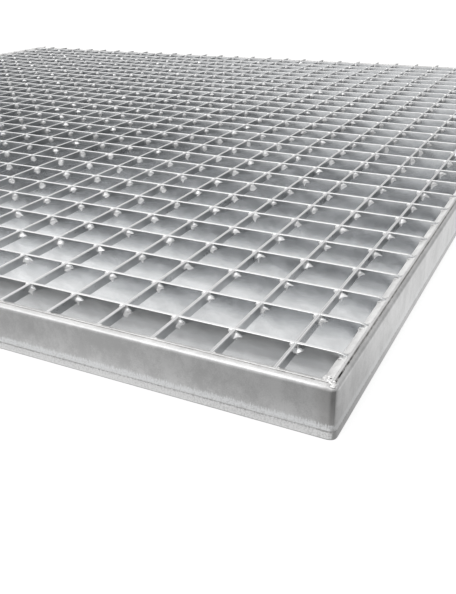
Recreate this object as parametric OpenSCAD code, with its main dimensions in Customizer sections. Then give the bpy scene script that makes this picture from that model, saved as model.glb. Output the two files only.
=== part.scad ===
// Pressed steel grating panel with a rolled edge band.
// Bearing bars run along X, cross bars along Y. The panel lies flat on z = 0 and is centred on the
// origin; the walking surface, with the tops of both bars, is at z = band_h.

/* [Panel] */
// Length of the panel along the bearing bars
panel_l = 1000; // [400:1:1200]
// Width of the panel along the cross bars
panel_w = 1000; // [400:1:1200]
// Height of the edge band, which is the height of the panel
band_h = 27; // [22:0.5:50]

/* [Mesh] */
// Spacing of the bearing bars, centre to centre
bearing_pitch = 33.333; // [25:0.001:60]
// Spacing of the cross bars, centre to centre
cross_pitch = 33.333; // [25:0.001:60]
// Thickness of a bearing bar
bearing_t = 2; // [1.5:0.1:5]
// Depth of a bearing bar
bearing_h = 25; // [15:0.5:25.5]
// Thickness of a cross bar
cross_t = 2; // [1.5:0.1:5]
// Depth of a cross bar
cross_h = 6; // [4:0.1:12]
// Least distance from the panel's outer face to the centre of the outermost bar
first_bar = 20; // [18:0.5:40]

/* [Edge band] */
// Sheet thickness of the band's web
web_t = 1.6; // [1.2:0.1:1.8]
// Height of the flared foot
foot_h = 5.6; // [4:0.2:10]
// How far the foot stands out from the web
foot_out = 1.4; // [0.6:0.1:2]
// Radius along the lower outer edge of the foot
foot_r = 0.6; // [0.4:0.1:1.2]
// Radius of the band's outer face where it bends round a corner, at the foot
corner_r = 5; // [4.8:0.1:8]

/* [Top of the band] */
// Radius from the web over to the top
roll_r = 1.5; // [0.8:0.1:1.8]
// Width of the rolled groove that runs along the top
groove_w = 1.1; // [0.6:0.1:1.2]
// Depth of the groove
groove_depth = 0.9; // [0.4:0.1:1.3]
// Left and right sides: distance from the outer face to the middle of the groove
end_groove = 4.3; // [4.2:0.05:5.5]
// Left and right sides: width of the flat rim inside the groove
end_rim = 1.6; // [0.6:0.1:3]
// Front and back sides: distance from the outer face to the middle of the groove
long_groove = 5.8; // [4.2:0.05:6.5]
// Front and back sides: width of the flat rim inside the groove
long_rim = 0.9; // [0.6:0.1:3]

/* [Lip] */
// How far the sloping lip reaches inward from the rim
lip_w = 4.3; // [2:0.1:7]
// How far the lip drops on its way in
lip_drop = 2.2; // [0.5:0.1:2.6]
// Thickness of the lip
lip_t = 1.5; // [1.2:0.1:2]
// Thickness of the band under the rim
rim_t = 2.4; // [1.8:0.1:3]
// Width of the slot in the lip beside each bearing bar's end
slot_gap = 3; // [1:0.1:8]

/* [Hidden] */
$fn = 48;

// Colours
zinc = "#b9bcbd";
zinc_bar = "#aeb1b3";

// Band section, as distances inward from the panel's outer face
web_out = foot_out;
web_in = web_out + web_t;
flat_out = web_out + roll_r;
top_in = min(end_groove, long_groove) - groove_w / 2;
end_rim_in = end_groove + groove_w / 2 + end_rim;
long_rim_in = long_groove + groove_w / 2 + long_rim;
slope = atan(lip_drop / lip_w);

// Bars
bearing_n = floor((panel_w - 2 * first_bar) / bearing_pitch) + 1;
cross_n = floor((panel_l - 2 * first_bar) / cross_pitch) + 1;
fields = 3;
bar_foot = band_h - bearing_h;

function bearing_y(j) = (j - (bearing_n - 1) / 2) * bearing_pitch;
function cross_x(i) = (i - (cross_n - 1) / 2) * cross_pitch;
// The first bearing bar of a field, and the plane halfway between two fields
function field_start(f) = round(f * bearing_n / fields);
function field_edge(f) = bearing_y(field_start(f)) - bearing_pitch / 2;

// Section of the band's foot, web and outer roll: x inward, y up
module web_section() {
    polygon([[foot_r, 0], [web_in, 0], [web_in, foot_h], [web_out, foot_h], [0, foot_r],
             [foot_r, foot_r]]);
    translate([foot_r, foot_r])
        circle(foot_r);
    translate([web_out, foot_h])
        square([web_t, band_h - foot_h - roll_r]);
    translate([flat_out, band_h - roll_r])
        circle(roll_r);
    translate([web_out, band_h - rim_t])
        square([top_in - web_out, rim_t - roll_r]);
    translate([flat_out, band_h - rim_t])
        square([top_in - flat_out, rim_t]);
}

// Section of the groove, the rim and the lip that slopes down into the panel
module top_section(groove_at, rim_in) {
    lip_in = rim_in + lip_w;
    foot = [lip_in - lip_t * sin(slope), band_h - lip_drop - lip_t * cos(slope)];
    under = foot[0] - (band_h - rim_t - foot[1]) / tan(slope);
    polygon([[flat_out, band_h - rim_t], [flat_out, band_h], [groove_at - groove_w / 2, band_h],
             [groove_at, band_h - groove_depth], [groove_at + groove_w / 2, band_h],
             [rim_in, band_h], [lip_in, band_h - lip_drop], foot, [under, band_h - rim_t]]);
}

// Lays a section along one side, l long, whose outer face is d from the middle of the panel
module along_side(l, d) {
    translate([-l / 2, -d, 0])
        rotate([90, 0, 90])
            linear_extrude(l)
                children();
}

// Plan of one side's top, out to the mitres, which run through the corners of the groove
module mitred_plan(l, groove_at, next_groove) {
    reach = 3;
    polygon([[-l / 2, 0], [l / 2, 0], [l / 2 - reach * next_groove, reach * groove_at],
             [reach * next_groove - l / 2, reach * groove_at]]);
}

// Plan of the flat top inside the outer roll, on sides l and w long
module flat_plan(l, w) {
    r = corner_r - flat_out;
    square([l - 2 * corner_r, w - 2 * flat_out], center = true);
    square([l - 2 * flat_out, w - 2 * corner_r], center = true);
    for (x = [-1, 1], y = [-1, 1])
        translate([x * (l / 2 - corner_r), y * (w / 2 - corner_r)])
            circle(r);
}

// One side of the band, l long and w from the opposite side, with the bend at its right end
module band_side(l, w, groove_at, rim_in, next_groove) {
    along_side(l - 2 * corner_r, w / 2)
        web_section();
    intersection() {
        along_side(l, w / 2)
            top_section(groove_at, rim_in);
        translate([0, -w / 2, 0])
            linear_extrude(band_h)
                mitred_plan(l, groove_at, next_groove);
        linear_extrude(band_h)
            flat_plan(l, w);
    }
    translate([l / 2 - corner_r, corner_r - w / 2, 0])
        rotate(-90)
            rotate_extrude(angle = 90)
                translate([corner_r, 0])
                    mirror([1, 0])
                        web_section();
}

// The slots in the lips that the bearing bars' ends lie in
module bar_slots() {
    reach = 2 * lip_w;
    for (j = [0 : bearing_n - 1], side = [-1, 1])
        translate([side * (panel_l / 2 - end_rim_in - reach / 2), bearing_y(j) - slot_gap / 2,
                   band_h])
            cube([reach, bearing_t + slot_gap, 4 * rim_t], center = true);
}

module edge_band() {
    color(zinc)
        difference() {
            for (turn = [0, 1, 2, 3])
                rotate(90 * turn)
                    if (turn % 2 == 0)
                        band_side(panel_l, panel_w, long_groove, long_rim_in, end_groove);
                    else
                        band_side(panel_w, panel_l, end_groove, end_rim_in, long_groove);
            bar_slots();
        }
}

// A bearing bar from web to web: its ends step down under the rim
module bearing_bar(y) {
    near = panel_l / 2 - web_in;
    top = panel_l / 2 - end_rim_in;
    translate([0, y + bearing_t / 2, 0])
        rotate([90, 0, 0])
            linear_extrude(bearing_t)
                polygon([[-near, bar_foot], [near, bar_foot], [near, band_h - rim_t],
                         [top, band_h - rim_t], [top, band_h], [-top, band_h],
                         [-top, band_h - rim_t], [-near, band_h - rim_t]]);
}

// Elevation of a cross bar's end, coped over the lip, for the side -1 (front) or 1 (back)
function coped_end(side) = [
    [side * (panel_w / 2 - long_rim_in - lip_w), band_h - cross_h],
    [side * (panel_w / 2 - long_rim_in - lip_w), band_h - lip_drop],
    [side * (panel_w / 2 - long_rim_in), band_h]];
function cut_end(y) = [[y, band_h - cross_h], [y, band_h]];
function reversed(points) = [for (k = [len(points) - 1 : -1 : 0]) points[k]];

// The stretch of a cross bar that lies in field f
module cross_bar(x, f) {
    front = f == 0 ? coped_end(-1) : cut_end(field_edge(f));
    back = f == fields - 1 ? coped_end(1) : cut_end(field_edge(f + 1));
    translate([x - cross_t / 2, 0, 0])
        rotate([90, 0, 90])
            linear_extrude(cross_t)
                polygon(concat(front, reversed(back)));
}

// The bars of one field, fused where they cross
module mesh_field(f) {
    color(zinc_bar)
        union() {
            for (j = [field_start(f) : field_start(f + 1) - 1])
                bearing_bar(bearing_y(j));
            for (i = [0 : cross_n - 1])
                cross_bar(cross_x(i), f);
        }
}

module front_mesh() { mesh_field(0); }
module middle_mesh() { mesh_field(1); }
module back_mesh() { mesh_field(2); }

edge_band();
front_mesh();
middle_mesh();
back_mesh();
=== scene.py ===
# %% [markdown]
# # A galvanised steel grating panel
# The panel is a flat square of pressed grating. Deep bearing bars run along X, shallow cross
# bars run along Y and lie flush with them on top, and a rolled steel band closes all four sides.
# After pressing, the whole panel is dipped in molten zinc, which leaves a satin grey skin,
# rounds every edge, and runs into small beads where the bars cross.
#
# The exact construction is already packed. This lesson loads it as a fixed frame and dresses it:
# each new piece takes its place and its length from the frame's boxes, so that it fits.

# %% Load the frame
import math
import random
import bmesh
import bpy
from mathutils import Matrix, Quaternion, Vector, noise


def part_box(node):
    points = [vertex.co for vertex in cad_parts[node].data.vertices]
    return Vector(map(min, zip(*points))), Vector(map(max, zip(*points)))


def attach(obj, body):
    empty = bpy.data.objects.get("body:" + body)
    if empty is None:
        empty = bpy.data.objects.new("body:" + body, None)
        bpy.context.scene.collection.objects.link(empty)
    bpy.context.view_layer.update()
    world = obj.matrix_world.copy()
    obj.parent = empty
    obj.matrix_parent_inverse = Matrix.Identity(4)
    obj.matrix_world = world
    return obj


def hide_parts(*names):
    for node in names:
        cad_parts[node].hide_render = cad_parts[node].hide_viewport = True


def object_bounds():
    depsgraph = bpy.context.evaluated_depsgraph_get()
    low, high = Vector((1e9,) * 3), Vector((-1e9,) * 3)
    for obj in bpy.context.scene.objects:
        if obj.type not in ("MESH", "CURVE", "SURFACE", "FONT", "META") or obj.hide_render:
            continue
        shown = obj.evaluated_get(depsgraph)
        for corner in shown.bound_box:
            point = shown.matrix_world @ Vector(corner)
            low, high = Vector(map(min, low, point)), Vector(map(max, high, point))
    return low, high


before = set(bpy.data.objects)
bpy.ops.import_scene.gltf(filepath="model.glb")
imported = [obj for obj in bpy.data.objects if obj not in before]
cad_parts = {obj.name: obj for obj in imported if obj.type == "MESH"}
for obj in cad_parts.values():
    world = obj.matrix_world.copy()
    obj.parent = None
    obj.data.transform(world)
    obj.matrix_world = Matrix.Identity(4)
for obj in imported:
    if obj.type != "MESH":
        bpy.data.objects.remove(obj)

CAD_LO, CAD_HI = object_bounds()
print("CAD box in metres:", [round(v, 4) for v in (*CAD_LO, *CAD_HI)])

# %% [markdown]
# ## Driving sizes
# A press-locked grating is set out from very few numbers: the pitch of the bars, the thickness
# and depth of the two kinds of bar, and the section of the band. The pitch and the overall sizes
# can be read from the frame. The section of the band can't, so its sizes stand with its pieces, in
# millimetres, with one factor that turns them into metres.
#
# The zinc is thickest where it ran together. So that its lumps can stand up without making the
# panel higher than its construction, the bare faces lie a hair under the top. The bars are counted
# as in the workshop: as many as fit when the outermost ones keep a least distance from the edge.

# %% Sizes from the frame and the shop
MM = 0.001
HALF_L, HALF_W, TOP = CAD_HI.x, CAD_HI.y, CAD_HI.z
FIELD_LO, FIELD_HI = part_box("middle_mesh")
BARS_IN_FIELD = 9
PITCH = (FIELD_HI.y - FIELD_LO.y) / BARS_IN_FIELD
BAR_FOOT = FIELD_LO.z
BAR_REACH = FIELD_HI.x
FIRST_BAR = 20.0 * MM
BARS = math.floor((2 * HALF_W - 2 * FIRST_BAR) / PITCH) + 1
BAR_T = 2.0 * MM
CROSS_DEPTH = 6.0 * MM
ZINC_ROOM = 0.22 * MM
FACE = TOP - ZINC_ROOM
print("pitch", round(PITCH / MM, 3), "mm, bars each way", BARS)


def bar_at(k):
    """Distance of bar k from the middle of the panel, for bearing and cross bars alike."""
    return (k - (BARS - 1) / 2) * PITCH


# %% [markdown]
# ## The camera
# The picture is taken from just outside the near right corner, a little above the panel, with the
# lens turned to the left, across the mesh. The corner of the band's top is a natural point to measure
# from. An aim direction and a small roll are easier to read than three Euler angles, so the
# camera is turned with quaternions.

# %% Camera
LENS = 42.867
STANDPOINT = Vector((75.3, -249.5, 171.1)) * MM
near_corner = Vector((HALF_L, -HALF_W, TOP))
heading, dip, roll = math.radians(-27.24), math.radians(25.88), math.radians(-1.08)
aim = Vector((math.sin(heading) * math.cos(dip), math.cos(heading) * math.cos(dip), -math.sin(dip)))
lens = bpy.data.cameras.new("camera")
lens.lens = LENS
lens.sensor_width = 36.0
camera = bpy.data.objects.new("camera", lens)
camera.location = near_corner + STANDPOINT
camera.rotation_mode = "QUATERNION"
camera.rotation_quaternion = Quaternion(aim, -roll) @ aim.to_track_quat("-Z", "Y")
bpy.context.scene.collection.objects.link(camera)
bpy.context.scene.camera = camera
print("camera stands", round((camera.location - near_corner).length, 3), "m from the corner")

# %% [markdown]
# ## Shader maths that reads like maths
# A finish mixes several patterns, and wiring each Math node by hand hides the idea. A small class
# wraps a socket so that `0.3 + 0.2 * grain` adds the Math nodes itself. Everything that isn't
# plain arithmetic comes from one method, which takes the node's type, its settings and the values
# or links of its sockets. Short methods on top of it name the few nodes that every finish needs.


# %% Sockets that add and multiply
class Wire:
    """A socket's value: sums and products of wires add the Math nodes that work them out."""

    def __init__(self, sheet, socket):
        self.sheet = sheet
        self.socket = socket

    def __add__(self, other):
        return self.sheet.maths("ADD", self, other)

    def __radd__(self, other):
        return self.sheet.maths("ADD", other, self)

    def __sub__(self, other):
        return self.sheet.maths("SUBTRACT", self, other)

    def __rsub__(self, other):
        return self.sheet.maths("SUBTRACT", other, self)

    def __mul__(self, other):
        return self.sheet.maths("MULTIPLY", self, other)

    def __rmul__(self, other):
        return self.sheet.maths("MULTIPLY", other, self)

    def __abs__(self):
        return self.sheet.maths("ABSOLUTE", self)


class Sheet:
    """A node tree that is filled node by node."""

    def __init__(self, owner):
        owner.use_nodes = True
        self.tree = owner.node_tree
        self.tree.nodes.clear()

    def add(self, kind, settings, values, output=0):
        """Adds a node: its settings first, then a value or a link for each socket."""
        node = self.tree.nodes.new(kind)
        for name, setting in settings.items():
            setattr(node, name, setting)
        for name, value in values.items():
            if isinstance(value, Wire):
                self.tree.links.new(value.socket, node.inputs[name])
            else:
                node.inputs[name].default_value = value
        return Wire(self, node.outputs[output]) if len(node.outputs) else None

    def maths(self, operation, first, second=0.0):
        """A Math node."""
        return self.add("ShaderNodeMath", {"operation": operation}, {0: first, 1: second})

    def place(self):
        """The place on the object, in metres."""
        return self.add("ShaderNodeTexCoord", {}, {}, output="Object")

    def axes(self):
        """The place as three wires: along X, along Y and height."""
        place = self.place()
        return [self.add("ShaderNodeSeparateXYZ", {}, {"Vector": place}, output=k) for k in range(3)]

    def stretched(self, scale):
        """The place, squeezed or stretched along each axis."""
        return self.add("ShaderNodeMapping", {}, {"Vector": self.place(), "Scale": scale})

    def noise(self, size, detail=2.0, where=None):
        """Cloudy noise, from 0 to 1, whose patches are about as wide as size in metres."""
        values = {"Vector": where or self.place(), "Scale": 1 / size, "Detail": detail}
        return self.add("ShaderNodeTexNoise", {}, values)

    def steps(self, value, low, high):
        """0 below low, 1 above high, and a soft rise between."""
        values = {"Value": value, "From Min": low, "From Max": high}
        return self.add("ShaderNodeMapRange", {"interpolation_type": "SMOOTHSTEP"}, values)

    def tint(self, factor, first, second):
        """A colour between two colours."""
        values = {0: factor, 6: first, 7: second}
        return self.add("ShaderNodeMix", {"data_type": "RGBA"}, values, output=2)


# %% [markdown]
# ## Hot-dip zinc
# Zinc on steel is a metal with a thin dull skin. It mirrors its surroundings softly, with cloudy
# patches where it froze faster, and a fine grain. A metallic shader with a roughness that wanders
# gives the soft mirror, and a bump in three sizes keeps reflections from being ruler straight:
# long waves left by the draining zinc, a mottle, and a grain.
#
# Each kind of piece has marks of its own on top of that. They are functions that take the colour
# and the roughness and hand them on changed, so that one recipe serves every piece.


# %% Zinc recipe
CLOUD, PATCH, MOTTLE, GRAIN = 26 * MM, 9 * MM, 2.6 * MM, 0.7 * MM
MOTTLE_DEPTH, GRAIN_DEPTH = 0.035 * MM, 0.012 * MM


def grey(level, warmth=0.0):
    """A grey, a little warm or, below zero, a little cold."""
    return (level + warmth, level, level - warmth, 1.0)


def zinc(name, dull, bright, roughness, waves, stretch=(1, 1, 1), grit=1.0, metal=1.0, marks=None):
    """A zinc finish between two tones, with long waves of the given height in metres.

    stretch below 1 draws the pattern out along an axis, and grit scales its fine half."""
    material = bpy.data.materials.new(name)
    sheet = Sheet(material)
    drawn = sheet.stretched(stretch)
    clouds = sheet.noise(CLOUD, 3, drawn)
    patches = sheet.noise(PATCH, 2, drawn)
    mottle = sheet.noise(MOTTLE, 3, drawn)
    grain = sheet.noise(GRAIN, 2)
    fine = 0.20 * mottle + 0.22 * grain
    tone = 0.30 * clouds + 0.28 * patches + grit * fine + 0.21 * (1 - grit)
    colour = sheet.tint(sheet.steps(tone, 0.40, 0.60), dull, bright)
    rough = roughness + 0.14 * (clouds - 0.5) + 0.12 * (mottle - 0.5)
    if marks:
        colour, rough, metal = marks(sheet, colour, rough)
    height = waves * patches + MOTTLE_DEPTH * grit * mottle + GRAIN_DEPTH * grit * grain
    bump = sheet.add("ShaderNodeBump", {}, {"Strength": 1.0, "Distance": 1.0, "Height": height})
    values = {"Base Color": colour, "Metallic": metal, "Roughness": rough, "Normal": bump}
    surface = sheet.add("ShaderNodeBsdfPrincipled", {}, values)
    sheet.add("ShaderNodeOutputMaterial", {}, {"Surface": surface})
    return material


# %% [markdown]
# On the outside of the band, the zinc has frozen to a feathered frost above the foot, and to a pale
# skirt on it. There is a broken line of small pits along the top of the foot, and its lowest edge is
# darkened by a painted contact shadow. All of these follow the height over the floor. The web is a
# little darker below the roll. At the front corners its zinc is rougher, with painted shade on the
# bend. The foot of the two ends is darker, and the web's inner face, which only looks out on the
# bars, is darkened by painted shade.


# %% Marks on the web and the foot
PIT_LINE = 3.9 * MM
FROST_LOW, FROST_HIGH = 4.1 * MM, 7.2 * MM


def web_marks(sheet, colour, rough):
    """Frost, pits and a pale skirt; painted shade and shadow; a darker upper web and end foot."""
    across, along, height = sheet.axes()
    on_end = sheet.steps(abs(across), HALF_L - 3 * MM, HALF_L - 2 * MM)
    on_foot = 1 - sheet.steps(height, PIT_LINE - 0.5 * MM, PIT_LINE)
    # the foot of the two ends is made darker
    darker_end_foot = on_end * on_foot
    # painted contact shadow along the band's lowest edge
    edge = 1 - sheet.steps(height, 0.45 * MM, 0.95 * MM)
    fleck = 0.55 + 0.9 * sheet.steps(sheet.noise(0.9 * MM, 3), 0.35, 0.65)
    skirt = on_foot * (1 - edge) * (1 - 0.85 * on_end) * fleck

    feather = sheet.noise(0.8 * MM, 2, sheet.stretched((1, 1, 0.12)))
    frost_top = 1 - sheet.steps(height + 5 * MM * (feather - 0.5), FROST_HIGH - MM, FROST_HIGH + MM)
    frost = sheet.steps(height, FROST_LOW, FROST_LOW + 0.7 * MM) * frost_top
    frost = frost * (1 - 0.5 * on_end) * fleck
    pits = 1 - sheet.steps(abs(height - PIT_LINE), 0.15 * MM, 0.45 * MM)
    pits = pits * sheet.steps(sheet.noise(1.3 * MM, 2), 0.44, 0.58)

    # painted shade on the bends of the two front corners, where the zinc is also rougher
    corner = sheet.steps(abs(across), HALF_L - 15 * MM, HALF_L - 6 * MM)
    corner = corner * (1 - sheet.steps(along, -HALF_W + 2 * MM, -HALF_W + 4 * MM))
    # the web is made a little darker below the roll
    below_roll = sheet.steps(height, 11 * MM, 20 * MM)
    # painted shade on the web's inner face, which looks out only on the bars
    inward = sheet.maths("MINIMUM", HALF_W - abs(along), HALF_L - abs(across))
    painted_inner_shade = sheet.steps(inward, 2.0 * MM, 2.6 * MM)
    painted_inner_shade = painted_inner_shade * (1 - sheet.steps(height, FACE - 1.8 * MM, FACE - 1.3 * MM))
    painted_inner_shade = painted_inner_shade * sheet.steps(height, 4 * MM, 15 * MM)

    colour = sheet.tint(0.40 * corner, colour, grey(0.38, 0.01))
    colour = sheet.tint(0.20 * below_roll * (1 - on_end), colour, grey(0.35))
    colour = sheet.tint(0.95 * frost, colour, grey(0.98, -0.01))
    colour = sheet.tint(0.85 * skirt, colour, grey(0.97))
    colour = sheet.tint(0.6 * pits, colour, grey(0.30))
    colour = sheet.tint(0.6 * edge, colour, grey(0.35))
    colour = sheet.tint(0.75 * painted_inner_shade, colour, grey(0.30))
    colour = sheet.tint(0.45 * darker_end_foot, colour, grey(0.35))
    return colour, rough + 0.12 * frost + 0.15 * corner, 1 - 0.55 * skirt - 0.35 * frost


# %% [markdown]
# Down in the groove along the top, the zinc is darker, in ragged patches. Near the corners, where the
# zinc drained last, it is broken by black pits, and the groove's own corner has a dull greenish dip.

# %% Marks on the rim
GROOVE_CORNER = Vector((HALF_L - 5.0 * MM, HALF_W - 6.0 * MM, 0))


def rim_marks(sheet, colour, rough):
    """A darker tone down in the groove, pits near its corners, and a dip at each of them."""
    across, along, height = sheet.axes()
    depth = FACE - height
    # darker down in the groove, in ragged patches
    down_in_groove = sheet.steps(depth, 0.06 * MM, 0.30 * MM)
    corner = {"X": abs(across) - GROOVE_CORNER.x, "Y": abs(along) - GROOVE_CORNER.y}
    offset = sheet.add("ShaderNodeCombineXYZ", {}, corner)
    away = sheet.add("ShaderNodeVectorMath", {"operation": "LENGTH"}, {0: offset}, output="Value")
    near_pits = 1 - sheet.steps(away, 12 * MM, 34 * MM)
    broken = sheet.steps(sheet.noise(2.4 * MM, 2), 0.50, 0.58)
    ragged = 0.5 + 0.5 * sheet.steps(sheet.noise(5 * MM, 3), 0.42, 0.56)
    dip = 1 - sheet.steps(away + 2 * MM * sheet.noise(1.5 * MM), 1.6 * MM, 3.4 * MM)
    colour = sheet.tint(0.66 * down_in_groove * ragged, colour, grey(0.22, 0.01))
    colour = sheet.tint(0.9 * down_in_groove * near_pits * broken, colour, grey(0.03))
    colour = sheet.tint(0.6 * dip, colour, (0.42, 0.45, 0.42, 1.0))
    return colour, rough + 0.1 * down_in_groove, 1.0


# %% [markdown]
# A bar's top is painted brighter than its faces, as a painted highlight. Along the middle of the
# top, between the two rounded edges, a darker line is painted as shade of the shallow hollow there,
# and the zinc in it is a little rougher.
# The bars repeat at one pitch, so a ping-pong of the distance gives how far any point lies from
# the middle of its bar.


# %% Marks on the bars
def bar_marks(axis, strength, painted_highlight_tone):
    """Marks for bars that repeat along an axis: 0 for cross bars, 1 for bearing bars."""

    def marks(sheet, colour, rough):
        place = sheet.axes()
        off = sheet.maths("PINGPONG", place[axis], PITCH / 2)
        # painted highlight over the top, and painted shade of the hollow along its middle
        top = sheet.steps(place[2], FACE - 0.70 * MM, FACE - 0.25 * MM)
        line = top * (1 - sheet.steps(off, 0.15 * MM, 0.55 * MM))
        colour = sheet.tint(0.85 * top, colour, painted_highlight_tone)
        return sheet.tint(strength * line, colour, grey(0.20)), rough + 0.1 * line, 1.0

    return marks


# %% [markdown]
# Six finishes come from the recipe. The band, the rim and the lip differ a little in tone. The lip
# and the beads are less metallic, because lumpy zinc scatters light as well as mirroring it. The
# bearing bars have the glossiest skin with the deepest waves. The cross bars are the darkest, as
# painted shade on their faces, and the beads' near-white tone is a painted highlight for their
# glints.

# %% The finishes
BAND = zinc("band_zinc", grey(0.64), grey(0.80), roughness=0.36, waves=0.06 * MM,
            stretch=(1, 1, 0.7), marks=web_marks)
RIM = zinc("rim_zinc", grey(0.66, 0.004), grey(0.82, 0.004), roughness=0.34, waves=0.14 * MM,
           marks=rim_marks)
LIP = zinc("lip_zinc", grey(0.76, 0.006), grey(0.92, 0.006), roughness=0.38, waves=0.10 * MM,
           metal=0.6)
BEARING = zinc("bearing_zinc", grey(0.68, -0.010), grey(0.88, -0.010), roughness=0.22,
               waves=0.15 * MM, stretch=(0.6, 1, 0.9), grit=0.3,
               marks=bar_marks(axis=1, strength=0.10, painted_highlight_tone=grey(0.98)))
# the cross bars' darker tone is painted shade on their faces
CROSS = zinc("cross_zinc", grey(0.43, -0.010), grey(0.62, -0.010), roughness=0.30,
             waves=0.10 * MM, stretch=(1, 0.5, 0.9), grit=0.35,
             marks=bar_marks(axis=0, strength=0.28, painted_highlight_tone=grey(0.99)))
# the beads' near-white tone is a painted highlight for their glints
BEAD = zinc("bead_zinc", grey(0.97), grey(0.99), roughness=0.30, waves=0.02 * MM, grit=0.2,
            metal=0.45)
print("finishes:", ", ".join(m.name for m in (BAND, RIM, LIP, BEARING, CROSS, BEAD)))

# %% [markdown]
# ## Small modelling tools
# Most of the panel is stock with one section along its length. Such a piece starts as a ring of
# edges, which is pulled along to leave faces behind it, and is capped at both ends. An outline
# lists only its corners, each with a radius, and a helper turns every radius into an arc.
#
# A finished piece is smooth except where two faces meet at more than a given angle.


# %% Outlines, rings and pieces
SMOOTH = 180


def rounded(corners, steps=4):
    """Turns corners (across, up, radius) into the points of a closed outline with arcs."""
    points = []
    for k, (x, y, radius) in enumerate(corners):
        here = Vector((x, y))
        before = (Vector(corners[k - 1][:2]) - here).normalized()
        after = (Vector(corners[(k + 1) % len(corners)][:2]) - here).normalized()
        half = before.angle(after) / 2
        if radius == 0:
            points.append(here)
            continue
        centre = here + (before + after).normalized() * radius / math.sin(half)
        first = here + before * radius / math.tan(half) - centre
        turn = (math.pi - 2 * half) * (1 if before.cross(after) < 0 else -1)
        for s in range(steps + 1):
            points.append(centre + Matrix.Rotation(turn * s / steps, 2) @ first)
    return points


def ring_of(bm, points):
    """Joins points in space into one closed ring of edges."""
    verts = [bm.verts.new(p) for p in points]
    return [bm.edges.new((verts[k - 1], verts[k])) for k in range(len(verts))]


def pull(bm, ring, vector, steps=1):
    """Pulls a ring along a vector and returns the ring at its far end."""
    for _ in range(steps):
        new = bmesh.ops.extrude_edge_only(bm, edges=ring)["geom"]
        verts = [g for g in new if isinstance(g, bmesh.types.BMVert)]
        bmesh.ops.translate(bm, vec=vector / steps, verts=verts)
        ring = [g for g in new if isinstance(g, bmesh.types.BMEdge)]
    return ring


def cap(bm):
    """Closes every open end."""
    bmesh.ops.holes_fill(bm, edges=[e for e in bm.edges if e.is_boundary], sides=0)


def cut_away(bm, point, normal):
    """Cuts a solid with a plane, drops the side that the normal points to, and closes the cut."""
    geom = [*bm.verts, *bm.edges, *bm.faces]
    bmesh.ops.bisect_plane(bm, geom=geom, plane_co=point, plane_no=normal, clear_outer=True)
    cap(bm)


def pour(bm, part, matrix=Matrix.Identity(4)):
    """Adds a part to a piece that is being made, and empties the part."""
    bmesh.ops.transform(part, matrix=matrix, verts=part.verts)
    mesh = bpy.data.meshes.new("part")
    part.to_mesh(mesh)
    bm.from_mesh(mesh)
    bpy.data.meshes.remove(mesh)
    part.free()


def finish_piece(bm, name, material, stands_for=(), sharp=38):
    """Turns a bmesh into a piece that rides on the panel, with its normals pointing out.

    Edges whose faces meet at more than sharp, in degrees, stay crisp."""
    bmesh.ops.recalc_face_normals(bm, faces=bm.faces)
    for face in bm.faces:
        face.smooth = True
    for edge in bm.edges:
        edge.smooth = edge.is_boundary or edge.calc_face_angle(0) < math.radians(sharp)
    mesh = bpy.data.meshes.new(name)
    bm.to_mesh(mesh)
    bm.free()
    mesh.materials.append(material)
    piece = bpy.data.objects.new(name, mesh)
    bpy.context.scene.collection.objects.link(piece)
    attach(piece, "root")
    if stands_for:
        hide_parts(*stands_for)
    triangles = sum(len(p.vertices) - 2 for p in mesh.polygons)
    print(f"{name}: {triangles} triangles")


# %% [markdown]
# ## The edge band
# The band is strip steel, rolled to a section and wrapped round the panel: a foot that stands out
# at the bottom, a flat web, a soft roll over to the top, a fine groove, and a flat rim. Spinning
# the section's outer part round each corner's centre and pulling it along each side gives the web
# in one closed loop. The foot is flared less on the two ends, so it is pushed in there afterwards.
# Near the four corners, where the zinc ran together, noise pushes the top out of true. Its offsets
# come from the clock unless it is seeded, so it is seeded here once.

# %% Band: web, foot and outer roll
CORNER_R = 5.0 * MM
WEB_OUT = 1.4 * MM  # this and the next two: distances in from the panel's outer face
WEB_IN = 3.0 * MM
FLAT_IN = 3.55 * MM  # where the roll ends and the flat top begins
EASE = 0.12 * MM  # the last of the roll's rise, which the flat top takes up
RIM_T = 2.4 * MM
END_FLARE = 0.5  # the share of the foot's flare that the two ends keep
WELD = 0.001 * MM
SIDE_STEPS = 60
CORNER_STEPS = 10
NEAR_CORNER = 13.0 * MM
NEAR_STEPS = 16
LUMP, LUMP_DEPTH = 3.0 * MM, 2.0 * MM
PUSH, RISE, SAG = 0.25 * MM, 0.7 * MM, 0.2 * MM
TOP_GAP = 0.03 * MM
noise.seed_set(5)
web_corners = [
    (0.35 * MM, 0, 0.20 * MM),
    (0, 0.75 * MM, 0.30 * MM),
    (0.80 * MM, PIT_LINE - 0.20 * MM, 0.08 * MM),
    (0.98 * MM, PIT_LINE, 0.06 * MM),
    (0.88 * MM, PIT_LINE + 0.22 * MM, 0.08 * MM),
    (WEB_OUT, 6.1 * MM, 2.8 * MM),
    (WEB_OUT, FACE - 1.45 * MM, 1.7 * MM),
    (WEB_OUT + 0.9 * MM, FACE - 0.38 * MM, 1.7 * MM),
    (FLAT_IN, FACE - EASE, 0),
    (FLAT_IN, FACE - RIM_T, 0),
    (WEB_IN, FACE - RIM_T, 0),
    (WEB_IN, 0, 0.30 * MM),
]


def pull_side(bm, ring, vector):
    """Pulls a ring along a whole side, with short steps near its two ends."""
    short = vector.normalized() * NEAR_CORNER
    ring = pull(bm, ring, short, NEAR_STEPS)
    ring = pull(bm, ring, vector - 2 * short, SIDE_STEPS)
    return pull(bm, ring, short, NEAR_STEPS)


def run_lumpy(bm):
    """Pushes the top out of true near the four corners."""
    for vert in bm.verts:
        away = Vector((HALF_L - abs(vert.co.x), HALF_W - abs(vert.co.y))).length
        high = min(1, max(0, 1 - (FACE - vert.co.z) / LUMP_DEPTH))
        share = max(0, 1 - away / NEAR_CORNER) * high
        wave = noise.noise_vector(vert.co / LUMP)
        vert.co.x += PUSH * share * wave.x
        vert.co.y += PUSH * share * wave.y
        vert.co.z = min(vert.co.z + share * (RISE * wave.z - SAG), TOP - TOP_GAP)


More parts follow.
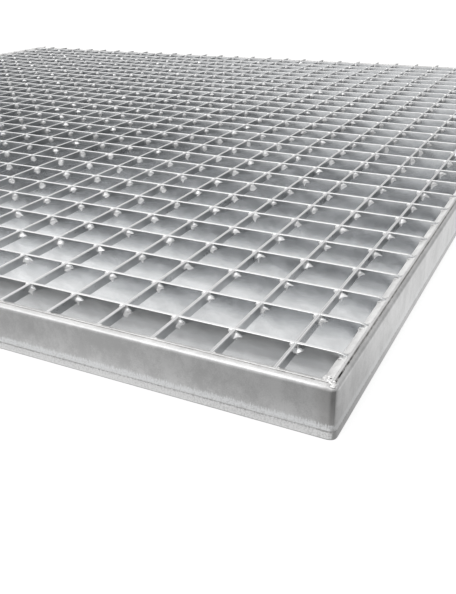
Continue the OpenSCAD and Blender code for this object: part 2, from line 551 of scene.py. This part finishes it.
bm = bmesh.new()
start_x = CORNER_R - HALF_L
ring = ring_of(bm, [(start_x, s - HALF_W, z) for s, z in rounded(web_corners, 5)])
for side in range(4):
    direction = Matrix.Rotation(math.radians(90 * side), 3, "Z") @ Vector((1, 0, 0))
    run = 2 * (HALF_L if side % 2 == 0 else HALF_W) - 2 * CORNER_R
    ring = pull_side(bm, ring, direction * run)
    end_x = (HALF_L - CORNER_R) * (1 if side in (0, 1) else -1)
    end_y = (HALF_W - CORNER_R) * (1 if side in (1, 2) else -1)
    spun = bmesh.ops.spin(bm, geom=ring, cent=(end_x, end_y, 0), axis=(0, 0, 1),
                          angle=math.radians(90), steps=CORNER_STEPS)
    ring = [g for g in spun["geom_last"] if isinstance(g, bmesh.types.BMEdge)]
bmesh.ops.remove_doubles(bm, verts=bm.verts, dist=WELD)
for vert in bm.verts:
    flare = abs(vert.co.x) - (HALF_L - WEB_OUT)
    if flare > 0:
        vert.co.x = math.copysign(HALF_L - WEB_OUT + END_FLARE * flare, vert.co.x)
run_lumpy(bm)
finish_piece(bm, "band_web", BAND, ["edge_band"])

# %% [markdown]
# The groove and the rim lie nearer the outside on the two ends than on the two long sides, so the
# mitre between them isn't at 45 degrees: it runs from the panel's corner through the corner of the
# groove.

# %% Band: groove and rim
END_GROOVE = 4.3 * MM
LONG_GROOVE = 5.8 * MM
END_RIM = 1.6 * MM
LONG_RIM = 0.9 * MM
GROOVE_W = 1.1 * MM
LONG_GROOVE_W = 0.9 * MM
GROOVE_DEPTH = 0.9 * MM
END_RIM_IN = END_GROOVE + GROOVE_W / 2 + END_RIM
LONG_RIM_IN = LONG_GROOVE + GROOVE_W / 2 + LONG_RIM


def top_strip(length, groove_at, groove_w, rim_in, next_groove):
    """The groove and the rim along the side at -Y of a panel that is length long."""
    half = groove_w / 2
    flat = groove_at - half - FLAT_IN
    rim = rim_in - groove_at - half
    corners = [
        (FLAT_IN, FACE - RIM_T, 0),
        (FLAT_IN, FACE - EASE, 0),
        (FLAT_IN + 0.4 * flat, FACE - 0.3 * EASE, 0),
        (FLAT_IN + 0.7 * flat, FACE, 0),
        (groove_at - half, FACE, 0.2 * half),
        (groove_at, FACE - GROOVE_DEPTH, 0.2 * half),
        (groove_at + half, FACE, 0.4 * half),
        (groove_at + half + 0.35 * rim, FACE, 0),
        (groove_at + half + 0.65 * rim, FACE, 0),
        (rim_in, FACE, 0.3 * MM),
        (rim_in, FACE - RIM_T, 0),
    ]
    part = bmesh.new()
    ring = ring_of(part, [(-length / 2, s, z) for s, z in rounded(corners)])
    pull_side(part, ring, Vector((length, 0, 0)))
    cap(part)
    bevel_at = CORNER_R - (CORNER_R - FLAT_IN) / math.sqrt(2)
    for end in (-1, 1):
        cut_away(part, (end * length / 2, 0, 0), (end * groove_at, next_groove, 0))
        cut_away(part, (end * (length / 2 - bevel_at), bevel_at, 0), (end, -1, 0))
    return part


bm = bmesh.new()
for side in range(4):
    turn = Matrix.Rotation(math.radians(90 * side), 4, "Z")
    if side % 2 == 0:
        strip = top_strip(2 * HALF_L, LONG_GROOVE, LONG_GROOVE_W, LONG_RIM_IN, END_GROOVE)
        pour(bm, strip, turn @ Matrix.Translation((0, -HALF_W, 0)))
    else:
        strip = top_strip(2 * HALF_W, END_GROOVE, GROOVE_W, END_RIM_IN, LONG_GROOVE)
        pour(bm, strip, turn @ Matrix.Translation((0, -HALF_L, 0)))
run_lumpy(bm)
finish_piece(bm, "band_rim", RIM)

# %% [markdown]
# ## The lip
# Inside the rim the strip slopes down into the panel. Along the front and back it runs on without
# a break. At the two ends it is punched with slots that the bearing bars lie in, so it is a row of
# tabs there. The first and last tab reach right up to the rims of the long sides, and are pressed a
# little wider. The punch leaves a raised burr along each tab's far edge, and the zinc has half
# filled the slot behind it.

# %% Band: lip and tabs
LIP_W = 4.3 * MM
LIP_DROP = 2.2 * MM
LIP_T = 1.5 * MM
SLOT_GAP = 3.0 * MM
LIP_START = 0.5 * MM
LIP_SUNK = 0.06 * MM
LIP_ROUND = 0.45 * MM
LIP_STEP = 6.0 * MM
WIDER = 0.8 * MM
slope = math.atan2(LIP_DROP, LIP_W)


def lip_part(rim_in, length, width=LIP_W):
    """A stretch of lip, its start at x = 0, sloping down along +Y from the rim."""
    along = Vector((math.cos(slope), -math.sin(slope)))
    down = Vector((-math.sin(slope), -math.cos(slope)))
    high = Vector((rim_in, FACE - LIP_SUNK))
    corners = [high - along * LIP_START, high + along * width / math.cos(slope)]
    corners += [corners[1] + down * LIP_T, corners[0] + down * LIP_T]
    radii = [0, LIP_ROUND, LIP_ROUND, 0]
    part = bmesh.new()
    points = rounded([(*c, r) for c, r in zip(corners, radii)])
    ring = ring_of(part, [(0, s, z) for s, z in points])
    pull(part, ring, Vector((length, 0, 0)), max(2, round(length / LIP_STEP)))
    cap(part)
    return part


def slot_place(start, end):
    """The turn and shift that put a part made along X against the rim of one end."""
    turn = Matrix.Rotation(math.radians(90), 4, "Z") @ Matrix.Translation((start, -HALF_L, 0))
    return turn if end > 0 else Matrix.Diagonal((-1, 1, 1, 1)) @ turn


bm = bmesh.new()
for end in (0, 1):
    lip = lip_part(LONG_RIM_IN, 2 * (HALF_L - END_RIM_IN - LIP_W))
    turn = Matrix.Rotation(math.radians(180 * end), 4, "Z")
    pour(bm, lip, turn @ Matrix.Translation((END_RIM_IN + LIP_W - HALF_L, -HALF_W, 0)))
tab_starts = [LONG_RIM_IN - HALF_W, *[bar_at(k) + BAR_T / 2 for k in range(BARS)]]
tab_stops = [*[bar_at(k) - BAR_T / 2 - SLOT_GAP for k in range(BARS)], HALF_W - LONG_RIM_IN]
for end in (1, -1):
    for start, stop in zip(tab_starts, tab_stops):
        outermost = start == tab_starts[0] or stop == tab_stops[-1]
        width = LIP_W + WIDER if outermost else LIP_W
        pour(bm, lip_part(END_RIM_IN, stop - start, width), slot_place(start, end))
finish_piece(bm, "band_lip", LIP)

# %% [markdown]
# ## The bars
# Each bar is flat stock. Dipping rounds its top corners, and the zinc that drains off leaves two
# fine rounded edges with a shallow hollow between them; the top's brightness is a painted highlight.
# One bar is cut from a box: its corners are
# bevelled, a cut along the middle is pressed in a little, and many cuts across give it something
# to bend with. Its copies are then pushed out of true by a few hundredths of a millimetre, each
# in its own way. The bevels stay crisp, because normals that were smoothed over them would tilt
# the shading of the big flat faces.


# %% Bars
FOOT_BEVEL = 0.3 * MM
ON_LINE = 0.01 * MM
CUTS_PER_PITCH = 4
SWAY, SWELL = 0.06 * MM, 0.07 * MM
BEND_ALONG, BEND_UP = 9 * MM, 12 * MM
NEXT_BAR, SWELL_RATE = 7.3, 2.1
CRISP = 20


def stock_bar(length, depth, edge, hollow):
    """A bar along X with its top at z = 0, its top edges rounded and its top hollowed."""
    part = bmesh.new()
    bmesh.ops.create_cube(part, size=1)
    bmesh.ops.scale(part, vec=(length, BAR_T, depth), verts=part.verts)
    bmesh.ops.translate(part, vec=(0, 0, -depth / 2), verts=part.verts)
    long_edges = [e for e in part.edges if abs(e.verts[0].co.x - e.verts[1].co.x) > length / 2]
    top_edges = [e for e in long_edges if e.verts[0].co.z > -edge]
    foot_edges = [e for e in long_edges if e not in top_edges]
    bmesh.ops.bevel(part, geom=top_edges, offset=edge, offset_type="OFFSET", segments=3,
                    profile=0.5, affect="EDGES", material=-1)
    bmesh.ops.bevel(part, geom=[e for e in foot_edges if e.is_valid], offset=FOOT_BEVEL,
                    offset_type="OFFSET", segments=1, profile=0.5, affect="EDGES", material=-1)
    geom = [*part.verts, *part.edges, *part.faces]
    bmesh.ops.bisect_plane(part, geom=geom, plane_co=(0, 0, 0), plane_no=(0, 1, 0))
    for vert in part.verts:
        if abs(vert.co.y) < ON_LINE and vert.co.z > -edge:
            vert.co.z -= hollow
    cuts = round(length / (PITCH / CUTS_PER_PITCH))
    for k in range(1, cuts):
        geom = [*part.verts, *part.edges, *part.faces]
        bmesh.ops.bisect_plane(part, geom=geom, plane_co=(length * (k / cuts - 0.5), 0, 0),
                               plane_no=(1, 0, 0))
    return part


def lay_bars(length, depth, edge, hollow, matrix, sink):
    """All the bars of one kind, laid side by side along Y and turned into place.

    sink is how far their tops lie under the panel's highest point."""
    one = bpy.data.meshes.new("one_bar")
    part = stock_bar(length, depth, edge, hollow)
    part.to_mesh(one)
    part.free()
    bm = bmesh.new()
    for k in range(BARS):
        part = bmesh.new()
        part.from_mesh(one)
        for vert in part.verts:
            seat = Vector((vert.co.x / BEND_ALONG, k * NEXT_BAR, vert.co.z / BEND_UP))
            vert.co.y += SWAY * noise.noise(seat)
            if vert.co.z > -edge:
                vert.co.z += SWELL * noise.noise(seat * SWELL_RATE) - sink
        pour(bm, part, matrix @ Matrix.Translation((0, bar_at(k), TOP)))
    bpy.data.meshes.remove(one)
    return bm


# %% [markdown]
# The bearing bars run from web to web. Their ends step down under the rim, so every point of them
# that would stand in the rim is pushed below it. The cross bars end at the rims of the long sides.

# %% Bearing bars and cross bars
MESHES = ["front_mesh", "middle_mesh", "back_mesh"]
UNDER_RIM = END_RIM_IN - 0.2 * MM
bm = lay_bars(length=2 * BAR_REACH, depth=TOP - BAR_FOOT, edge=0.35 * MM, hollow=0.04 * MM,
              matrix=Matrix.Identity(4), sink=0.16 * MM)
for vert in bm.verts:
    if HALF_L - abs(vert.co.x) < UNDER_RIM:
        vert.co.z = min(vert.co.z, TOP - RIM_T)
finish_piece(bm, "bearing_bars", BEARING, MESHES, sharp=CRISP)

bm = lay_bars(length=2 * (HALF_W - LONG_RIM_IN), depth=CROSS_DEPTH, edge=0.40 * MM,
              hollow=0.16 * MM, matrix=Matrix.Rotation(math.radians(90), 4, "Z"), sink=0.14 * MM)
finish_piece(bm, "cross_bars", CROSS, MESHES, sharp=CRISP)

# %% [markdown]
# ## Zinc at the crossings
# Where a cross bar is pressed into a bearing bar, molten zinc clings in the corners between them.
# In one corner it runs down as a thin thread, and freezes halfway down the cross bar as a bead with
# a few pointed arms. In the next corner it stops near the top as a round blob. The drops grow from
# the near right corner of the panel towards the far side, as if it had hung by that corner.
#
# A coarse ball whose vertices are pulled out towards each arm gives such a bead with a few dozen
# faces.


# %% Beads and threads
BEAD_TOP = FACE + 0.1 * MM
ARM_ROOT = 0.22
BEAD_LUMPS = 0.4
THREAD_SIDES = 5
SPIKY = 60


def bead(bm, centre, size, arms=()):
    """A ball, scaled by size, with the vertex nearest each arm pulled out to the arm's end.

    A ball with arms is a splash, so it is lumpy too. None stands higher than BEAD_TOP."""
    matrix = Matrix.Translation(centre) @ Matrix.Diagonal((*size, 1))
    verts = bmesh.ops.create_icosphere(bm, subdivisions=2, radius=1, matrix=matrix)["verts"]
    for arm in arms:
        tip = max(verts, key=lambda v: (v.co - centre).normalized().dot(arm.normalized()))
        for edge in tip.link_edges:
            edge.other_vert(tip).co += ARM_ROOT * arm
        tip.co = centre + arm
    if arms:
        for vert in verts:
            vert.co += (vert.co - centre) * BEAD_LUMPS * noise.noise(vert.co / MM)
    for vert in verts:
        vert.co.z = min(vert.co.z, BEAD_TOP)


def thread(bm, top, bottom, thin, thick):
    """A thin drip between two heights."""
    middle = (top + bottom) / 2
    bmesh.ops.create_cone(bm, cap_ends=False, segments=THREAD_SIDES, radius1=thick, radius2=thin,
                          depth=top.z - bottom.z, matrix=Matrix.Translation(middle))


# %% [markdown]
# Every crossing gets one bead on its thread and one blob. Their sizes are drawn from a seeded
# generator, so that no two look alike and each run gives the same panel.

# %% One bead and one blob at every crossing
DROP_REACH = 0.9 * HALF_L


def hang_bead(bm, cross, far, grow, luck):
    """The thread in a crossing's right front corner, and the bead with three arms at its end."""
    corner = cross + Vector((BAR_T / 2, -BAR_T / 2, 0))
    heart = corner + Vector((0.35, -0.35, -luck.uniform(2.4, 3.4) + 0.3 * far)) * MM
    arms = [Vector((luck.uniform(3.4, 4.9), -0.1, luck.uniform(-1.1, 0.1))) * MM,
            Vector((-0.2, -luck.uniform(2.8, 4.0), luck.uniform(-1.6, -0.6))) * MM,
            Vector((luck.uniform(-0.2, 0.5), -0.2, -luck.uniform(3.0, 4.6))) * MM]
    bead(bm, heart, Vector((1.0, 0.95, 1.1)) * (1 + 0.35 * far) * MM * grow, arms)
    drip = corner + Vector((0.15, -0.15, -0.2)) * MM
    wide = (0.50 + 0.75 * far) * MM * grow
    thread(bm, drip, Vector((drip.x, drip.y, heart.z)), wide, 1.15 * wide)


def stick_blob(bm, cross, grow, luck):
    """The round blob in a crossing's left front corner."""
    low = Vector((-BAR_T / 2 - 0.8 * MM, -BAR_T / 2 - 0.3 * MM, -1.05 * MM * grow))
    shape = Vector((luck.uniform(1.2, 1.6), luck.uniform(0.85, 1.05), 1.15)) * MM * grow
    bead(bm, cross + low, shape)


luck = random.Random(11)
beads = bmesh.new()
blobs = bmesh.new()
for i in range(BARS):
    bead_row = bmesh.new()
    blob_row = bmesh.new()
    for j in range(BARS):
        cross = Vector((bar_at(i), bar_at(j), FACE))
        far = min(1, (cross.xy - near_corner.xy).length / DROP_REACH)
        grow = luck.uniform(0.85, 1.15) * (1 + 0.55 * far)
        hang_bead(bead_row, cross, far, grow, luck)
        stick_blob(blob_row, cross, grow, luck)
    pour(beads, bead_row)
    pour(blobs, blob_row)
finish_piece(beads, "crossing_beads", BEAD, sharp=SPIKY)
finish_piece(blobs, "crossing_blobs", BEAD, sharp=SMOOTH)

# %% [markdown]
# ## Zinc along the edge
# More zinc gathers where the bars meet the band: a low ridge along each tab's far edge with a
# sharp inner corner, a lumpy fill in the slot behind it, and a blob where each cross bar ends on
# the long lips. Each is the same ball as before, flattened or pulled out to one arm.

# %% Slot fills, burrs and end blobs
SLOT_BEADS = 3
BEAD_STEP = 1.6 * MM


def fill_slot(bm, luck):
    """The lumps in one slot, in a row that starts under the rim and follows the lip's slope."""
    for k in range(SLOT_BEADS):
        inward = 0.5 * MM + k * BEAD_STEP
        sunk = luck.uniform(0.5, 0.9) * MM + 0.5 * MM
        place = Vector((luck.uniform(0.9, 2.1) * MM, END_RIM_IN + inward,
                        FACE - inward * math.tan(slope) - sunk))
        bead(bm, place, Vector((luck.uniform(1.5, 2.1), luck.uniform(1.0, 1.5), 0.6)) * MM)


def raise_burr(bm, luck):
    """The ridge along a tab's far edge, with one arm at its inner corner."""
    run = LIP_W * luck.uniform(0.85, 1.0)
    place = Vector((-0.15 * MM, END_RIM_IN + 0.5 * run, FACE - 0.5 * LIP_DROP - 0.10 * MM))
    arm = Vector((0.1 * MM, 0.62 * run, -0.5 * LIP_DROP + 0.28 * MM))
    bead(bm, place, Vector((0.38 * MM, 0.52 * run, 0.45 * MM)), [arm])


luck = random.Random(23)
bm = bmesh.new()
for end in (1, -1):
    row = bmesh.new()
    for stop in tab_stops[:-1]:
        part = bmesh.new()
        fill_slot(part, luck)
        raise_burr(part, luck)
        pour(row, part, slot_place(stop, end))
    pour(bm, row)
for side in (1, -1):
    for i in range(BARS):
        x = bar_at(i) + BAR_T / 2 + luck.uniform(0.2, 0.7) * MM
        place = Vector((x, side * (HALF_W - LONG_RIM_IN - 0.9 * MM), FACE - 0.75 * MM))
        bead(bm, place, Vector((luck.uniform(0.9, 1.5), luck.uniform(0.8, 1.2), 0.6)) * MM)
finish_piece(bm, "edge_zinc", LIP, sharp=SMOOTH)

# %% [markdown]
# At the panel's four corners the zinc has run into lumps. Most of them lie along the band's mitre,
# and stay inside the outer roll. A few more lie along the inner edge of the tab next to it.

# %% Lumps at the four corners
MITRE_LUMPS, TAB_LUMPS = 14, 5
ROLL_CLEAR = 2.6 * MM


def lump_on_mitre(bm, right, back, luck):
    """A lump somewhere along the mitre of one corner, just under the panel's highest point."""
    share = luck.uniform(0.40, 1.75)
    size = Vector((luck.uniform(0.7, 1.7), luck.uniform(0.6, 1.3), luck.uniform(0.5, 0.8))) * MM
    a = max(END_GROOVE * share + luck.uniform(-1.2, 1.4) * MM, ROLL_CLEAR + size.x)
    b = max(LONG_GROOVE * share + luck.uniform(-1.2, 1.0) * MM, ROLL_CLEAR + size.y)
    bead(bm, Vector((right * (HALF_L - a), back * (HALF_W - b), TOP - size.z - 0.02 * MM)), size)


def lump_on_tab(bm, right, back, k, luck):
    """Lump k of the row along the outermost tab's inner edge."""
    reach = LIP_W * luck.uniform(0.82, 1.04)
    place = Vector((right * (HALF_L - END_RIM_IN - reach),
                    back * (HALF_W - LONG_RIM_IN - 0.3 * MM - k * BEAD_STEP),
                    FACE - reach * math.tan(slope) - 0.35 * MM))
    bead(bm, place, Vector((luck.uniform(1.1, 1.6), luck.uniform(1.3, 1.9), 0.55)) * MM)


luck = random.Random(5)
bm = bmesh.new()
for right in (1, -1):
    for back in (1, -1):
        for _ in range(MITRE_LUMPS):
            lump_on_mitre(bm, right, back, luck)
        for k in range(TAB_LUMPS):
            lump_on_tab(bm, right, back, k, luck)
finish_piece(bm, "corner_zinc", LIP, sharp=SMOOTH)

# %% [markdown]
# ## Studio
# The floor is plain and pale. Metal shows what stands around it, so the floor has a second
# brightness, for mirrored rays alone. The panel's near right part lies on a sheet of white paper,
# and the floor is duller past the paper's end. In front of the panel it is light close to the band
# and darker further out, and on the right it is darkest beside the near corner.

# %% Floor
FLOOR_HALF = 15
bm = bmesh.new()
bmesh.ops.create_grid(bm, x_segments=1, y_segments=1, size=FLOOR_HALF)
mesh = bpy.data.meshes.new("floor")
bm.to_mesh(mesh)
bm.free()
floor = bpy.data.objects.new("floor", mesh)
bpy.context.scene.collection.objects.link(floor)
print("floor", 2 * FLOOR_HALF, "m wide")

# %% [markdown]
# Soft masks divide the floor: under the panel, in front, on the right, and the rest. Each part has
# its own brightness, and the masks blend them. They change over under the band's foot.

# %% The floor's two brightnesses
FOOTPRINT_L, FOOTPRINT_W = HALF_L - MM, HALF_W - MM
material = bpy.data.materials.new("pale_floor")
mesh.materials.append(material)
sheet = Sheet(material)
seen = sheet.add("ShaderNodeLightPath", {}, {}, output="Is Camera Ray")
mirrored = sheet.add("ShaderNodeLightPath", {}, {}, output="Is Glossy Ray")
across, along, _ = sheet.axes()


def past(distance, line):
    """0 on the near side of a line and 1 past it, with a soft edge 10 mm wide."""
    return sheet.steps(distance, line - 5 * MM, line + 5 * MM)


in_front = 1 - past(along, -FOOTPRINT_W)
on_right = past(across, FOOTPRINT_L)
elsewhere = sheet.maths("MAXIMUM", 1 - past(across, -FOOTPRINT_L), past(along, FOOTPRINT_W))

off_middle = sheet.steps(along, -225 * MM, -180 * MM) * (1 - sheet.steps(across, 220 * MM, 285 * MM))
off_back = sheet.steps(along, -130 * MM, -30 * MM)
paper = sheet.steps(across, 55 * MM, 120 * MM) * (1 - off_middle) * (1 - off_back)
leftward = 1 - sheet.steps(across, 180 * MM, 460 * MM)
inward = sheet.steps(along, -HALF_W + 18 * MM, -HALF_W + 50 * MM)
under = 0.28 + paper * (0.48 + inward * (0.17 + 0.16 * leftward))
under = under * (1 - elsewhere) + 0.66 * elsewhere

close = sheet.steps(along, -HALF_W - 14 * MM, -HALF_W - 4 * MM)
before = 0.59 + 0.28 * close - 0.13 * sheet.steps(across, 340 * MM, 470 * MM)
before = before - 0.05 * (1 - sheet.steps(across, 290 * MM, 340 * MM))

by_corner = 1 - sheet.steps(along, -HALF_W - 10 * MM, -HALF_W + 150 * MM)
ahead = 1 - sheet.steps(along, -HALF_W - 20 * MM, -HALF_W - 2 * MM)
beside = 0.88 - 0.42 * by_corner - 0.34 * ahead

glow = (1 - on_right) * ((1 - in_front) * under + in_front * before) + on_right * beside
matt = sheet.add("ShaderNodeBsdfDiffuse", {}, {"Color": grey(0.45)})
lift = sheet.add("ShaderNodeEmission", {}, {"Strength": 0.72 * seen})
pale = sheet.add("ShaderNodeAddShader", {}, {0: matt, 1: lift})
mirror = sheet.add("ShaderNodeEmission", {}, {"Strength": glow})
surface = sheet.add("ShaderNodeMixShader", {}, {0: mirrored, 1: pale, 2: mirror})
sheet.add("ShaderNodeOutputMaterial", {}, {"Surface": surface})

# %% [markdown]
# The room is a world without any lamps. The camera sees it plain white, and every other ray meets
# soft lobes of light on a grey ground: a light wall behind on the left, a faint one in front, a
# ceiling, and a soft box almost overhead that draws the bright line along the roll.

# %% Room
world = bpy.data.worlds.new("room")
bpy.context.scene.world = world
sheet = Sheet(world)
ray = sheet.add("ShaderNodeTexCoord", {}, {}, output="Generated")


def glow_towards(direction, low, high):
    """1 where a ray points in this direction, fading out to 0."""
    values = {0: ray, 1: Vector(direction).normalized()}
    near = sheet.add("ShaderNodeVectorMath", {"operation": "DOT_PRODUCT"}, values, output="Value")
    return sheet.steps(near, low, high)


wall = glow_towards((-0.75, 0.65, 0.10), 0.45, 0.95)
ceiling = glow_towards((0, 0, 1), 0.30, 0.90)
softbox = glow_towards((-0.26, -0.06, 0.96), 0.70, 0.97)
front_wall = glow_towards((-0.26, -0.95, 0.12), 0.72, 0.96)
room = 0.46 + 0.47 * wall + 0.14 * ceiling + 1.35 * softbox + 0.28 * front_wall
seen = sheet.add("ShaderNodeLightPath", {}, {}, output="Is Camera Ray")
strength = seen + (1 - seen) * room
back = sheet.add("ShaderNodeBackground", {}, {"Color": grey(1.0), "Strength": strength})
sheet.add("ShaderNodeOutputWorld", {}, {"Surface": back})
bpy.context.scene.view_settings.view_transform = "Standard"
print("room with 4 soft lights on a grey ground")
